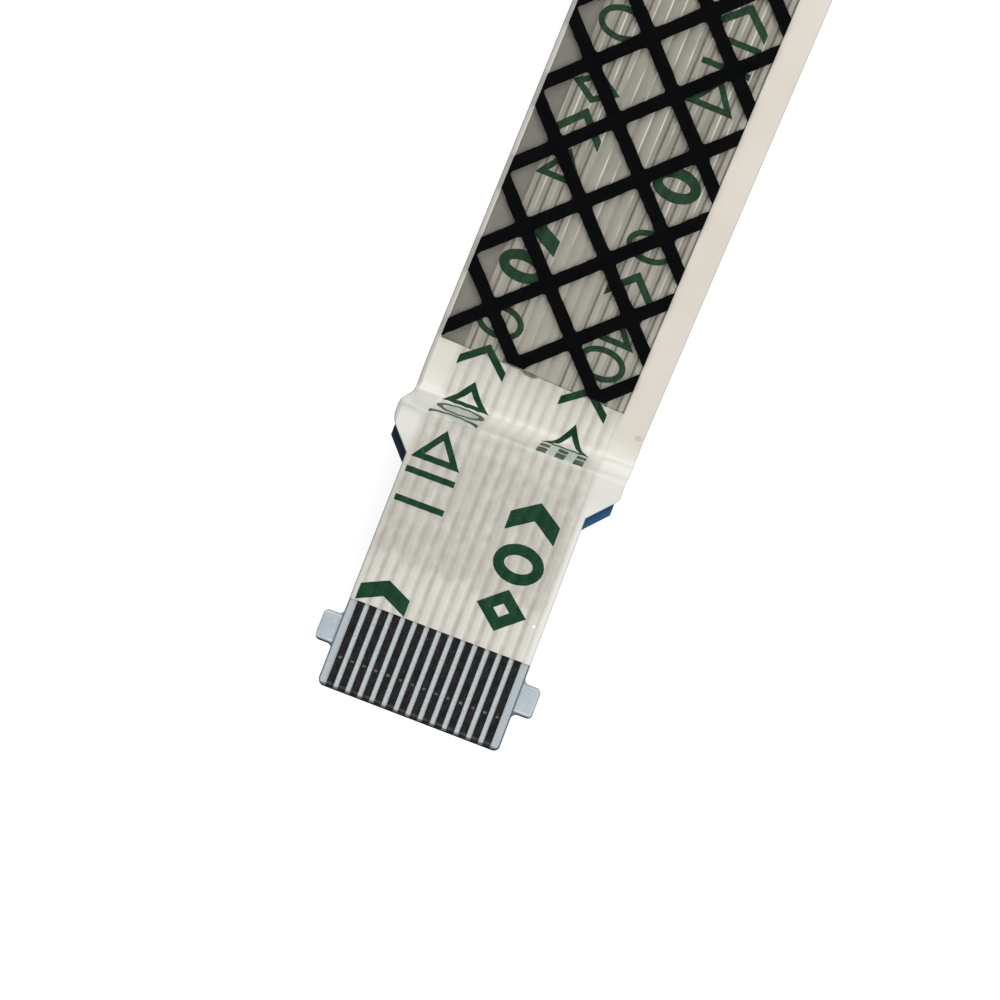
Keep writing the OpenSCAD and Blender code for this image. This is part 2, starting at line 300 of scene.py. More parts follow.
class Finish:
    """A material under construction, with short names for the nodes it is made of."""

    def __init__(self, name, roughness, **sockets):
        self.material = bpy.data.materials.new(name)
        self.material.use_nodes = True
        self.tree = self.material.node_tree
        self.shader = self.tree.nodes["Principled BSDF"]
        self.shader.inputs["Roughness"].default_value = roughness
        for socket, value in sockets.items():
            self.shader.inputs[socket.replace("_", " ")].default_value = value

    def node(self, kind, **settings):
        made = self.tree.nodes.new(kind)
        for key, value in settings.items():
            setattr(made, key, value)
        return made

    def feed(self, value, socket):
        """Links an output to a socket, or writes a constant into it."""
        if isinstance(value, bpy.types.NodeSocket):
            self.tree.links.new(value, socket)
        else:
            socket.default_value = value

    def math(self, operation, a, b=0.0):
        made = self.node("ShaderNodeMath", operation=operation)
        self.feed(a, made.inputs[0])
        self.feed(b, made.inputs[1])
        return made.outputs[0]

    def times(self, a, b):
        return self.math("MULTIPLY", a, b)

    def plus(self, a, b):
        return self.math("ADD", a, b)

    def minus(self, a, b):
        return self.math("SUBTRACT", a, b)

    def between(self, value, low, high, soft=0.02):
        """1 where value lies from low to high, with a soft edge, and 0 outside."""
        rise = self.ramp(value, low - soft, low + soft)
        fall = self.ramp(value, high - soft, high + soft)
        return self.minus(rise, fall)

    def ramp(self, value, low, high, to_low=0.0, to_high=1.0, smooth=True):
        """Goes from to_low to to_high as value goes from low to high."""
        made = self.node("ShaderNodeMapRange")
        made.interpolation_type = "SMOOTHSTEP" if smooth else "LINEAR"
        self.feed(value, made.inputs["Value"])
        ends = {"From Min": low, "From Max": high, "To Min": to_low, "To Max": to_high}
        for end, number in ends.items():
            made.inputs[end].default_value = number
        return made.outputs["Result"]

    def mix(self, factor, a, b):
        made = self.node("ShaderNodeMix", data_type="RGBA")
        self.feed(factor, made.inputs[0])
        self.feed(shader_colour(a), made.inputs[6])
        self.feed(shader_colour(b), made.inputs[7])
        return made.outputs[2]

    def vector_math(self, operation, vector, second=(0, 0, 0)):
        """A step on a vector, as the node that does it."""
        made = self.node("ShaderNodeVectorMath", operation=operation)
        self.tree.links.new(vector, made.inputs[0])
        made.inputs[1].default_value = second
        return made

    def place_in_mm(self):
        """The point's own x, y and z, in millimetres."""
        scale = self.vector_math("SCALE", self.node("ShaderNodeTexCoord").outputs["Object"])
        scale.inputs["Scale"].default_value = 1 / MM
        return scale.outputs[0]

    def film_map(self):
        """The place on the film as a vector: v across and s along, in millimetres."""
        return self.node("ShaderNodeUVMap", uv_map="film").outputs["UV"]

    def edge_distance(self):
        """How far the point lies from the film's +Y edge and from its -Y edge, in millimetres."""
        both = self.node("ShaderNodeUVMap", uv_map="edge").outputs["UV"]
        return self.axis(both, "X"), self.axis(both, "Y")

    def steps(self, value, places):
        """A colour that changes step by step as value grows, from pairs of a value and a colour."""
        made = self.node("ShaderNodeValToRGB")
        last = places[-1][0]
        self.feed(self.ramp(value, 0, last, smooth=False), made.inputs["Fac"])
        elements = made.color_ramp.elements
        while len(elements) < len(places):
            elements.new(0.5)
        for element, (at, colour) in zip(elements, places):
            element.position = at / last
            element.color = shader_colour(colour)
        return made.outputs["Color"]

    def shares(self, value, places):
        """A share that changes step by step as value grows, from pairs of a value and a share."""
        return self.steps(value, [(at, (share, share, share, 1)) for at, share in places])

    def axis(self, vector, name):
        parts = self.node("ShaderNodeSeparateXYZ")
        self.tree.links.new(vector, parts.inputs[0])
        return parts.outputs[name]

    def measured(self, origin, direction):
        """How far the point lies from origin along a direction, in millimetres."""
        away = self.vector_math("SUBTRACT", self.place_in_mm(), origin)
        return self.vector_math("DOT_PRODUCT", away.outputs[0], direction).outputs["Value"]

    def spot(self, flat, v, s, wide, long, rough=0.0):
        """1 inside an oval spot on the film, fading to 0 at its edge."""
        shift = self.vector_math("SUBTRACT", flat, (v, s, 0))
        scaled = self.stretched(shift.outputs[0], 2 / wide, 2 / long, 1)
        reach = self.vector_math("LENGTH", scaled).outputs["Value"]
        if rough:
            ragged = self.times(self.noise(self.stretched(flat, 6, 6, 1), 1.0, 3.0), rough)
            reach = self.plus(reach, ragged)
        return self.ramp(reach, 0.55 + rough / 2, 1.0 + rough / 2, 1.0, 0.0)

    def stretched(self, vector, x, y, z):
        return self.vector_math("MULTIPLY", vector, (x, y, z)).outputs[0]

    def noise(self, vector, scale, detail=3.0, roughness=0.55):
        made = self.node("ShaderNodeTexNoise")
        self.tree.links.new(vector, made.inputs["Vector"])
        made.inputs["Scale"].default_value = scale
        made.inputs["Detail"].default_value = detail
        made.inputs["Roughness"].default_value = roughness
        return made.outputs["Fac"]

    def patches(self, vector, x, y, detail, low, high, to_low=0.0, to_high=1.0):
        """Patches of noise, finer where x and y are larger, that go from to_low to to_high."""
        grain = self.noise(self.stretched(vector, x, y, 1), 1.0, detail)
        return self.ramp(grain, low, high, to_low, to_high)

    def colour(self, value):
        self.feed(value, self.shader.inputs["Base Color"])

    def roughness(self, value):
        self.feed(value, self.shader.inputs["Roughness"])

    def bump(self, height, depth_mm, strength=1.0):
        made = self.node("ShaderNodeBump")
        made.inputs["Distance"].default_value = depth_mm * MM
        made.inputs["Strength"].default_value = strength
        self.tree.links.new(height, made.inputs["Height"])
        self.tree.links.new(made.outputs["Normal"], self.shader.inputs["Normal"])


def finish_node(node, finish):
    """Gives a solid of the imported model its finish."""
    solid = bpy.data.objects[node]
    solid.data.materials.clear()
    solid.data.materials.append(finish.material)


print("white film would be", [round(x, 3) for x in screen_colour(215, 210, 200)])

# %% [markdown]
# ## The two films
# The cover film is pressed over the conductors, so it stands up in a soft rib over each one. The ribs
# could be a bump in the material, but they show at the cut ends and catch the light at the step, so
# they are modelled. The film is swept: a cross-section is placed at many distances along the cable,
# closer together at the bends and the shoulders, and neighbouring sections are joined with faces.
#
# Each vertex also keeps its place on the flat film as a UV, so that the finish can follow the film
# round the step, and its distance from both edges as a second UV.

# %% Edges of the film
flare = math.atan2((film_w - tongue_w) / 2, shoulder_l)
shoulder_end = tongue_l + shoulder_l


def half_width(from_tip, shoulder_r):
    """Half the width of the film at a distance from the nearer tip."""
    tangent = shoulder_r * math.tan(flare / 2)
    if from_tip < tip_r:
        return tongue_w / 2 - tip_r + math.sqrt(tip_r**2 - (tip_r - from_tip) ** 2)
    if from_tip < tongue_l:
        return tongue_w / 2
    if from_tip < shoulder_end - tangent * math.cos(flare):
        return tongue_w / 2 + (from_tip - tongue_l) * math.tan(flare)
    if from_tip < shoulder_end + tangent:
        to_flat = shoulder_end + tangent - from_tip
        return film_w / 2 - shoulder_r + math.sqrt(shoulder_r**2 - to_flat**2)
    return film_w / 2


def halves(s):
    """Half widths at s, on the -Y and on the +Y side."""
    if s < cable_l / 2:
        return half_width(s, shoulder_r_right), half_width(s, shoulder_r_left)
    half = half_width(cable_l - s, shoulder_r_right)
    return half, half


print("shoulders flare at", round(math.degrees(flare), 1), "degrees")

# %% Places of the cross-sections
same_place = 0.005


def even(start, stop, step):
    """Values from start to stop, no further apart than step."""
    count = math.ceil((stop - start) / step)
    return [start + (stop - start) * i / count for i in range(count + 1)]


def sections_between(start, stop):
    """Distances along the film, closer where it bends or its edge curves."""
    places = (
        even(0, tip_r, 0.04)
        + even(tongue_l, shoulder_end + 0.5, 0.06)
        + even(crest_from_tip, wall_s, 0.02)
        + even(wall_s, foot_s, 0.3)
        + even(foot_s, turn_s, 0.05)
        + even(turn_s, wide_s, 0.1)
        + even(0, cable_l, 1)
        + even(cable_l - shoulder_end - 0.2, cable_l - tongue_l, 0.06)
        + even(cable_l - tip_r, cable_l, 0.04)
    )
    inside = sorted(p for p in places if start < p < stop)
    kept = [start]
    for p in inside:
        if p - kept[-1] > same_place:
            kept.append(p)
    if stop - kept[-1] < same_place:
        kept.pop()
    return kept + [stop]


print("sections along the cover film:", len(sections_between(contact_l, cable_l)))

# %% Profile of the ribs
valley_z = 2 * film_t
rib_h = conductor_t
rib_crown = 0.05
rib_steps = 10
flat_share = 0.3


def smooth(value, low, high):
    """0 below low, 1 above high, with a soft start and end."""
    part = min(max((value - low) / (high - low), 0), 1)
    return part * part * (3 - 2 * part)


def rib_share(s):
    """How much of the rib is left: forming the step has drawn the film flat on the wall."""
    pressed = smooth(s, crest_from_tip - 0.3, wall_s) * (1 - smooth(s, foot_s, turn_s + 0.2))
    return 1 - (1 - flat_share) * pressed


def rib_height(v, s):
    """Height of the cover film's upper face: a soft rib over each conductor."""
    row = v / conductor_spacing + (conductor_count - 1) / 2
    nearest = min(max(round(row), 0), conductor_count - 1)
    off = abs(row - nearest) * conductor_spacing
    slope = (off - rib_crown) / (conductor_spacing / 2 - rib_crown)
    slope = min(max(slope, 0), 1)
    return valley_z + rib_h * rib_share(s) * (0.5 + 0.5 * math.cos(math.pi * slope))


ribbed_half = conductor_count * conductor_spacing / 2
column_count = conductor_count * rib_steps + 1
rib_columns = [-ribbed_half + i * conductor_spacing / rib_steps for i in range(column_count)]
print("ribs", rib_h, "mm high, on the wall", round(rib_h * rib_share(foot_s), 3))

# %% Sweeping a film
sharp_turn = math.radians(50)


def swept_film(name, start, stop, columns, top_height, under_height):
    """A closed strip of film. columns are the places across it that don't move with its edges."""
    mesh = bpy.data.meshes.new(name)
    work = bmesh.new()
    film = work.loops.layers.uv.new("film")
    edge_map = work.loops.layers.uv.new("edge")
    flat = {}
    from_edge = {}
    rings = []
    for s in sections_between(start, stop):
        right, left = halves(s)
        across = [-right] + columns + [left]
        top = [(v, top_height(v, s)) for v in across]
        under = [(v, under_height) for v in reversed(across)]
        ring = []
        for v, h in top + under:
            vertex = work.verts.new(place(s, v, h))
            flat[vertex] = (v, s)
            from_edge[vertex] = (left - v, v + right)
            ring.append(vertex)
        rings.append(ring)
    for ring, following in zip(rings, rings[1:]):
        for i in range(len(ring)):
            j = (i + 1) % len(ring)
            work.faces.new((ring[i], ring[j], following[j], following[i]))
    work.faces.new(reversed(rings[0]))
    work.faces.new(rings[-1])
    bmesh.ops.recalc_face_normals(work, faces=work.faces)
    for face in work.faces:
        for loop in face.loops:
            loop[film].uv = flat[loop.vert]
            loop[edge_map].uv = from_edge[loop.vert]
        face.smooth = len(face.verts) == 4
    for edge in work.edges:
        sharp = edge.is_manifold and edge.calc_face_angle(0) > sharp_turn
        edge.smooth = not sharp
    work.to_mesh(mesh)
    work.free()
    made = bpy.data.objects.new(name, mesh)
    scene.collection.objects.link(made)
    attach(made, "root")
    print(name, len(mesh.polygons), "faces")
    return made


cover = swept_film("cover_film_formed", contact_l, cable_l, rib_columns, rib_height, film_t)
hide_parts("cover_film")

base = swept_film("base_film_formed", 0, cable_l - contact_l, [], lambda v, s: film_t, 0)
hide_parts("base_film")

# %% [markdown]
# ### How long the cable is
# The cable is a free flat cord, as wide as its wide run. Its length is measured along the base film,
# which runs from the near tip to the bare contacts at the far end.

base_l = cable_l - contact_l
route = [place(s, 0, film_t / 2) for s in sections_between(0, base_l)]
route_l = sum((b - a).length for a, b in zip(route, route[1:]))
print("route", len(route), "points,", round(route_l / MM, 2), "mm long")

# %% [markdown]
# ### Finish of the films
# The laminate is milky: clear polyester over a white bonding layer. The ribs lie over the conductors,
# and soft darker bands of painted shade lie in the valleys between them. Some lengths are painted
# lighter: a reflection near the bare contacts and light on the wall of the step. The margins, where
# there is no copper, are smooth. Under the liner the adhesive wets the surface, so it turns greyer,
# and thin white lines stay where the adhesive doesn't reach into the valleys between the ribs.

# %% Film finish
liner_low = [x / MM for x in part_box("release_liner")[0]]
liner_high = [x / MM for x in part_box("release_liner")[1]]
liner_s = (liner_low[0] - wide_x + wide_s, liner_high[0] - wide_x + wide_s)
print("liner runs from", round(liner_s[0], 2), "to", round(liner_s[1], 2), "mm along the film")


def film_finish():
    made = Finish("milky_film", roughness=0.38, Coat_Weight=0.15, Coat_Roughness=0.15)
    flat = made.film_map()
    v = made.axis(flat, "X")
    s = made.axis(flat, "Y")

    # Some lengths are milkier, and some are painted lighter: a painted reflection near the cut end of the
    # cover film, from 3.5 to 5.5 mm, and painted light on the wall of the step, from 12 to 15 mm
    warm = (190, 186, 177)
    cool = (181, 178, 170)
    strands = made.noise(made.stretched(flat, 3.0, 0.22, 1), 1.0, 4.0)
    tongue = made.mix(made.ramp(strands, 0.35, 0.65), warm, cool)
    milk_and_painted_light = (
        (3.5, 0.44), (4.6, 0.5), (5.3, 0.44), (5.7, 0.02), (10.35, 0), (10.7, 0.27), (11.1, 0.08),
        (12.1, 0.48), (13.5, 0.86), (14.2, 0.66), (15.0, 0.82), (16.2, 0.3), (20.0, 0.3),
    )
    drift = made.minus(made.noise(made.stretched(flat, 0.9, 0.5, 1), 1.0, 4.0), 0.5)
    drift = made.times(drift, made.ramp(s, 7.0, 9.5, 2.6, 0.0))
    drifted = made.plus(s, drift)
    milk_and_light_share = made.shares(drifted, milk_and_painted_light)
    colour = made.mix(milk_and_light_share, tongue, (228, 226, 217))

    # Painted shade in the valleys between the ribs, at the conductors' spacing, weaker on the wall where
    # the ribs are drawn flat; the crowns stay lighter
    phase = made.times(made.plus(v, ribbed_half), 2 * math.pi / conductor_spacing)
    wave = made.math("COSINE", phase)
    on_ribs = made.between(v, -ribbed_half, ribbed_half, 0.06)
    valley_shade = made.times(made.ramp(wave, -0.4, 1.0), on_ribs)
    uneven = made.patches(flat, 1.2, 0.12, 2.0, 0.3, 0.7, 0.35, 0.8)
    firmness = ((0.0, 1), (11.0, 1), (11.6, 0.5), (13.8, 0.4), (14.6, 0.65), (20.0, 0.65))
    firm = made.shares(s, firmness)
    valley_shade = made.times(valley_shade, firm)
    colour = made.mix(made.times(valley_shade, uneven), colour, (165, 161, 152))

    # Small clouds, as in any milky laminate
    clouds = made.patches(flat, 2.6, 1.7, 5.0, 0.42, 0.7, 0.0, 0.3)
    colour = made.mix(clouds, colour, (222, 219, 211))

    # The margins have no copper under them: pale and cool on the tongue, warm on the wide run
    # On the wall of the step, from about 12 to 14 mm, the margins are painted lighter, as light that
    # falls on the wall
    margin = made.steps(s, [
        (9.0, (229, 229, 223)), (10.5, (212, 211, 204)), (11.8, (217, 217, 211)), (12.2, (234, 234, 230)),
        (13.7, (238, 238, 234)), (14.2, (207, 206, 199)), (14.6, (224, 221, 213)),
        (15.0, (223, 218, 208)), (15.4, (216, 210, 199)), (30.0, (217, 209, 197)),
    ])
    slow = made.patches(flat, 0.3, 0.3, 2.0, 0.35, 0.65, 0.0, 0.35)
    margin = made.mix(slow, margin, (228, 223, 214))
    colour = made.mix(made.ramp(v, -3.72, -3.38, 1.0, 0.0), colour, margin)
    far_side = made.steps(s, [
        (9.5, (197, 195, 188)), (10.4, (221, 220, 213)), (11.05, (221, 221, 214)),
        (11.35, (203, 204, 197)), (13.4, (207, 207, 199)), (14.15, (202, 202, 195)),
        (14.6, (238, 236, 230)), (15.4, (225, 222, 210)), (20.0, (222, 219, 209)),
    ])
    far_side = made.mix(made.ramp(v, 4.55, 4.62), far_side, (192, 190, 184))
    colour = made.mix(made.ramp(v, 3.5, 3.85, 0.0, 1.0), colour, far_side)

    # Under the liner
    wet = made.times(
        made.between(s, liner_s[0], liner_s[1], 0.03),
        made.between(v, liner_low[1], liner_high[1], 0.03),
    )
    wet_tone = made.mix(made.patches(flat, 0.8, 0.5, 4.0, 0.3, 0.7), (172, 168, 155), (157, 153, 139))
    paler_start = made.ramp(s, 16.5, 24.0, 0.5, 0.0)
    wet_tone = made.mix(paler_start, wet_tone, (184, 180, 168))
    darker_run = made.ramp(s, 22.0, 27.0, 0.0, 0.3)
    wet_tone = made.mix(darker_run, wet_tone, (146, 144, 131))
    line = made.ramp(wave, 0.86, 0.99)
    broken = made.patches(flat, 2.1, 0.35, 3.0, 0.42, 0.6)
    broken = made.times(broken, made.ramp(s, 18, 26, 0.3, 1.0))
    wet_tone = made.mix(made.times(made.times(line, broken), on_ribs), wet_tone, (232, 228, 218))
    wet_tone = made.mix(made.ramp(v, 3.45, 3.75, 0.0, 0.8), wet_tone, (193, 189, 177))
    colour = made.mix(wet, colour, wet_tone)

    # Painted shade along the cut edges of the liner, on the film under them
    cut_w = 0.05
    end_cut = made.between(s, liner_s[0] + 0.01, liner_s[0] + 0.01 + cut_w, 0.015)
    side_cuts = made.plus(
        made.between(v, liner_low[1], liner_low[1] + cut_w, 0.015),
        made.between(v, liner_high[1] - cut_w, liner_high[1], 0.015),
    )
    shade = made.plus(made.times(end_cut, 0.55), made.times(side_cuts, 0.35))
    colour = made.mix(made.times(shade, wet), colour, (96, 92, 82))

    # A crease across the crest, drawn as a line of painted shade where the film turns down the wall,
    # patchy and fainter towards -Y
    crease_shade = made.between(s, crest_from_tip + 0.04, crest_from_tip + 0.14, 0.04)
    crest_shade_strength = made.patches(flat, 0.7, 0.2, 2.0, 0.4, 0.62, 0.5, 1.0)
    crest_shade_strength = made.times(crest_shade_strength, made.ramp(v, 1.0, 1.7, 0.22, 0.55))
    colour = made.mix(made.times(crease_shade, crest_shade_strength), colour, (134, 138, 130))

    # Forming the step has pressed some ink into the film round the marks on the wall
    for stain_v, stain_s, wide, long in ((2.45, 12.7, 2.5, 3.1), (-2.1, 12.4, 2.6, 2.6)):
        stain = made.times(made.spot(flat, stain_v, stain_s, wide, long, 0.5), 0.58)
        colour = made.mix(stain, colour, (150, 174, 156))

    # A smear of adhesive at the end of the liner, a small dark spot in the margin, and a painted glint
    # near the -Y edge of the tongue
    smear = made.spot(flat, 0.55, liner_s[0] - 0.02, 0.8, 0.26, 0.6)
    colour = made.mix(made.times(smear, 0.85), colour, (76, 73, 60))
    dark_spot = made.spot(flat, -4.5, 15.7, 0.4, 0.3, 0.8)
    colour = made.mix(made.times(dark_spot, 0.4), colour, (150, 142, 136))
    painted_glint = made.spot(flat, -3.35, 4.95, 0.16, 0.16)
    colour = made.mix(painted_glint, colour, (250, 250, 248))

    # Painted shade along the cut edges, heavier on the +Y side, away from the rib lamp
    from_left, from_right = made.edge_distance()
    left_edge_shade = made.times(made.ramp(from_left, 0.025, 0.065, 1.0, 0.0), 0.75)
    colour = made.mix(left_edge_shade, colour, (118, 118, 114))
    right_edge_shade = made.times(made.ramp(from_right, 0.02, 0.05, 1.0, 0.0), 0.45)
    colour = made.mix(right_edge_shade, colour, (160, 154, 144))

    made.colour(colour)
    made.roughness(made.ramp(strands, 0.3, 0.7, 0.32, 0.46))
    grain = made.noise(made.stretched(flat, 14, 5, 1), 1.0, 3.0)
    made.bump(grain, 0.004, 0.5)
    return made


milky_film = film_finish()
cover.data.materials.append(milky_film.material)


def base_finish():
    """Clear film: the pale carrier shows through it between the bare contacts."""
    made = Finish("clear_film", roughness=0.35, Coat_Weight=0.1, Coat_Roughness=0.2)
    flat = made.film_map()
    s = made.axis(flat, "Y")
    milky = made.mix(made.patches(flat, 2.0, 0.2, 4.0, 0.3, 0.7), (220, 215, 206), (208, 205, 197))
    over_carrier = made.mix(made.patches(flat, 9, 9, 3.0, 0.3, 0.7), (198, 205, 206), (176, 184, 190))
    beside_row = made.ramp(made.math("ABSOLUTE", made.axis(flat, "X")), 3.38, 3.46, 0.0, 0.65)
    over_carrier = made.mix(beside_row, over_carrier, (166, 175, 181))
    near_tongue = made.ramp(s, contact_l + 0.1, contact_l + 0.3, 1.0, 0.0)
    colour = made.mix(near_tongue, milky, over_carrier)
    from_left, from_right = made.edge_distance()
    from_tip = made.times(s, 0.65)
    edge = made.math("MINIMUM", made.math("MINIMUM", from_left, from_right), from_tip)
    # Painted shade along the cut edges and across the near tip
    rim = made.ramp(edge, 0.03, 0.08, 0.88, 0.0)
    made.colour(made.mix(rim, colour, (62, 64, 68)))
    made.bump(made.noise(made.stretched(flat, 12, 12, 1), 1.0, 2.0), 0.003, 0.4)
    return made


base.data.materials.append(base_finish().material)
print("films finished, with", len(rib_columns), "columns over the ribs")

# %% [markdown]
# ## Contacts
# Bare tinned copper. Under a bright sky it would shine white, but these strips look almost black: they
# mirror the dark camera above them, and that dark reflection is painted into their colour. They lie
# between pale film, and get a dark, slightly metallic finish with a fine grain. The ends are worn
# paler, and a row of small marks crosses the strips where a test probe has touched them.

# %% Contact finish
tongue_along = Vector((
    math.cos(tongue_rise) * math.cos(step_skew),
    math.cos(tongue_rise) * math.sin(step_skew),
    -math.sin(tongue_rise),
))
tongue_across = Vector((-math.sin(step_skew), math.cos(step_skew), 0))
tip_middle = place(0, 0, 0) / MM


def contact_finish():
    made = Finish("tinned_contact", roughness=0.45, Metallic=0.3, Specular_IOR_Level=0.12)
    where = made.place_in_mm()
    # The near black of dark and brown is a painted reflection of the dark camera above the contacts
    dark = (22, 22, 23)
    brown = (41, 38, 37)
    tone = made.noise(made.stretched(where, 2.0, 6.0, 6.0), 1.6, 5.0)
    colour = made.mix(made.ramp(tone, 0.38, 0.68), dark, brown)
    s = made.measured(tip_middle, tongue_along)
    worn = made.times(made.between(s, 0.1, 0.19, 0.03), made.ramp(tone, 0.3, 0.6, 0.3, 1.0))
    colour = made.mix(made.times(worn, 0.6), colour, (88, 87, 88))
    speck = made.noise(where, 15.0, 1.0)
    colour = made.mix(made.ramp(speck, 0.71, 0.76), colour, (104, 92, 92))
    row_phase = made.plus(made.measured(tip_middle, tongue_across), ribbed_half)
    row_wave = made.math("COSINE", made.times(row_phase, 2 * math.pi / conductor_spacing))
    pricked = made.times(made.ramp(row_wave, -0.9, -0.55, 1.0, 0.0), made.ramp(tone, 0.4, 0.6, 0.3, 0.9))
    probed = made.times(made.between(s, 1.17, 1.25, 0.03), pricked)
    colour = made.mix(probed, colour, (122, 120, 118))
    made.colour(colour)
    made.roughness(made.ramp(tone, 0.3, 0.7, 0.38, 0.55))
    made.bump(made.noise(made.stretched(where, 2, 20, 20), 1.0, 3.0), 0.004, 0.5)
    return made


tinned_contact = contact_finish()
for i in range(1, conductor_count + 1):
    finish_node(f"conductor_{i:02d}", tinned_contact)
print("contacts finished:", conductor_count)

# %% [markdown]
# ## Stiffeners
# The near tongue is stiffened by a pale film with the locking ears, backed by a blue one. From above
# the blue shows only as a band in front of the shoulders and as a thin line round the tip. A thicker
# blue film stiffens the far tongue. All are plain coloured films with a faint grain; the near two also
# carry painted shade, and the pale one a painted highlight round its outline.

# %% Stiffener finishes


def plain_film_finish(name, colour_a, colour_b, roughness, gloss=0.3):
    made = Finish(
        name, roughness=roughness, Coat_Weight=gloss / 3, Coat_Roughness=0.25, Specular_IOR_Level=gloss
    )
    where = made.place_in_mm()
    slow = made.noise(where, 0.7, 4.0)
    fine = made.noise(where, 8.0, 3.0)
    tone = made.plus(made.times(slow, 0.6), made.times(fine, 0.4))
    tinted = made.mix(made.ramp(tone, 0.35, 0.65), colour_a, colour_b)
    made.colour(tinted)
    made.bump(fine, 0.004, 0.5)
    return made, tinted


def ear_finish():
    """The pale film, with painted shade in a thin line along its cut outline and a painted highlight on
    the bevel just inside it.
    """
    made, tinted = plain_film_finish("pale_carrier", (181, 192, 198), (164, 175, 182), 0.4)
    s = made.measured(tip_middle, tongue_along)
    v = made.math("ABSOLUTE", made.measured(tip_middle, tongue_across))
    body = made.math("MAXIMUM", made.times(s, -1.0), made.minus(v, tongue_w / 2))
    from_middle = made.math("ABSOLUTE", made.minus(s, ear_from_tip + ear_l / 2))
    beside_ear = made.minus(v, tongue_w / 2 + ear_out)
    ear = made.math("MAXIMUM", made.minus(from_middle, ear_l / 2), beside_ear)
    outside = made.math("MINIMUM", body, ear)
    # A painted highlight on the bevel just inside the outline, patchy along it
    bevel_highlight = made.between(outside, -0.13, -0.07, 0.02)
    shine = made.ramp(made.noise(made.place_in_mm(), 0.9, 1.0), 0.45, 0.6, 0.05, 0.6)
    tinted = made.mix(made.times(bevel_highlight, shine), tinted, (226, 231, 234))
    # Painted shade in a thin line along the cut outline, heavier near the tip
    cut = made.times(made.ramp(outside, -0.06, -0.03), made.ramp(s, 1.55, 1.8, 0.8, 0.35))
    made.colour(made.mix(cut, tinted, (66, 68, 74)))
    return made


def blue_finish():
    """The blue film, with painted shade: navy on the +Y side, which lies in the film's shade, brighter on
    the -Y side, and near black next to the tip.
    """
    made, tinted = plain_film_finish("blue_film", (48, 93, 133), (39, 78, 115), 0.42, 0.1)
    v = made.measured(tip_middle, tongue_across)
    s = made.measured(tip_middle, tongue_along)
    # Painted shade: darker navy towards the +Y side
    tinted = made.mix(made.ramp(v, -1.0, 3.0), tinted, (16, 32, 50))
    # Painted shade, near black, within about 0.6 to 0.9 mm of the tip
    made.colour(made.mix(made.ramp(s, 0.6, 0.9, 1.0, 0.0), tinted, (34, 36, 42)))
    return made


finish_node("ear_carrier", ear_finish())
finish_node("blue_backing", blue_finish())
finish_node("far_support_film", plain_film_finish("blue_support", (40, 88, 130), (30, 72, 112), 0.42)[0])
print("stiffeners finished")

# %% [markdown]
# ## Lattice
# The liner carries a printed lattice: two sets of slanting lines that cross at nodes. The lines could
# be drawn as separate strips, but these would overlap at every node. So the lattice is drawn on a
# slanted grid, in which both sets of lines run square: each mesh of the grid is kept where a line runs
# and left open elsewhere. The grid is then turned into place, its edges are made a little uneven, as
# ink is at this scale, and it is trimmed to the liner and thickened.

# %% Draw the lattice
diamond_l = 3.5
diamond_w = 3.57
line_w = 0.55
node_from_start = 0.15
node_from_edge = 1.48
bare_start = 0.08
first_node_s = liner_s[0] + node_from_start
first_node_v = liner_high[1] - node_from_edge - diamond_w / 2
half_line = line_w / 2 * math.hypot(1 / diamond_l, 1 / diamond_w)
edge_steps = 16
corner_fill = 0.012
ragged = 0.022
print_low, print_high = (corner[2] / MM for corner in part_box("liner_lattice"))


def slant_stops(first, last):
    """Where the grid is cut along one slant: both sides of each line, and steps in between."""
    stops = []
    for line in range(first, last + 1):
        stops.append((line - half_line, True))
        gap = 1 - 2 * half_line
        stops += [(line + half_line + gap * i / edge_steps, False) for i in range(edge_steps)]
    return stops


def unevenness(s, v, grain, layer):
    """A small shift of the ink's edge, with grain as how fine it is and layer as which noise it is."""
    return noise.noise_vector(Vector((s * grain, v * grain, layer)))


def near_line(stop):
    """How far a stop lies from its nearest line, with its sign."""
    return stop - round(stop)


def lattice_point(a, b):
    """The flat place, s and v, of a stop on each slant, with filled corners and uneven edges."""
    off_a, off_b = near_line(a), near_line(b)
    if abs(abs(off_a) - half_line) < 1e-6 and abs(abs(off_b) - half_line) < 1e-6:
        a += math.copysign(corner_fill, off_a)
        b += math.copysign(corner_fill, off_b)
    s = first_node_s + diamond_l * (a + b) / 2
    v = first_node_v + diamond_w * (a - b) / 2
    shift = unevenness(s, v, 2.3, 1.7) + 0.5 * unevenness(s, v, 6, 4.1)
    return Vector((s + ragged * shift.x, v + ragged * shift.y, 0))


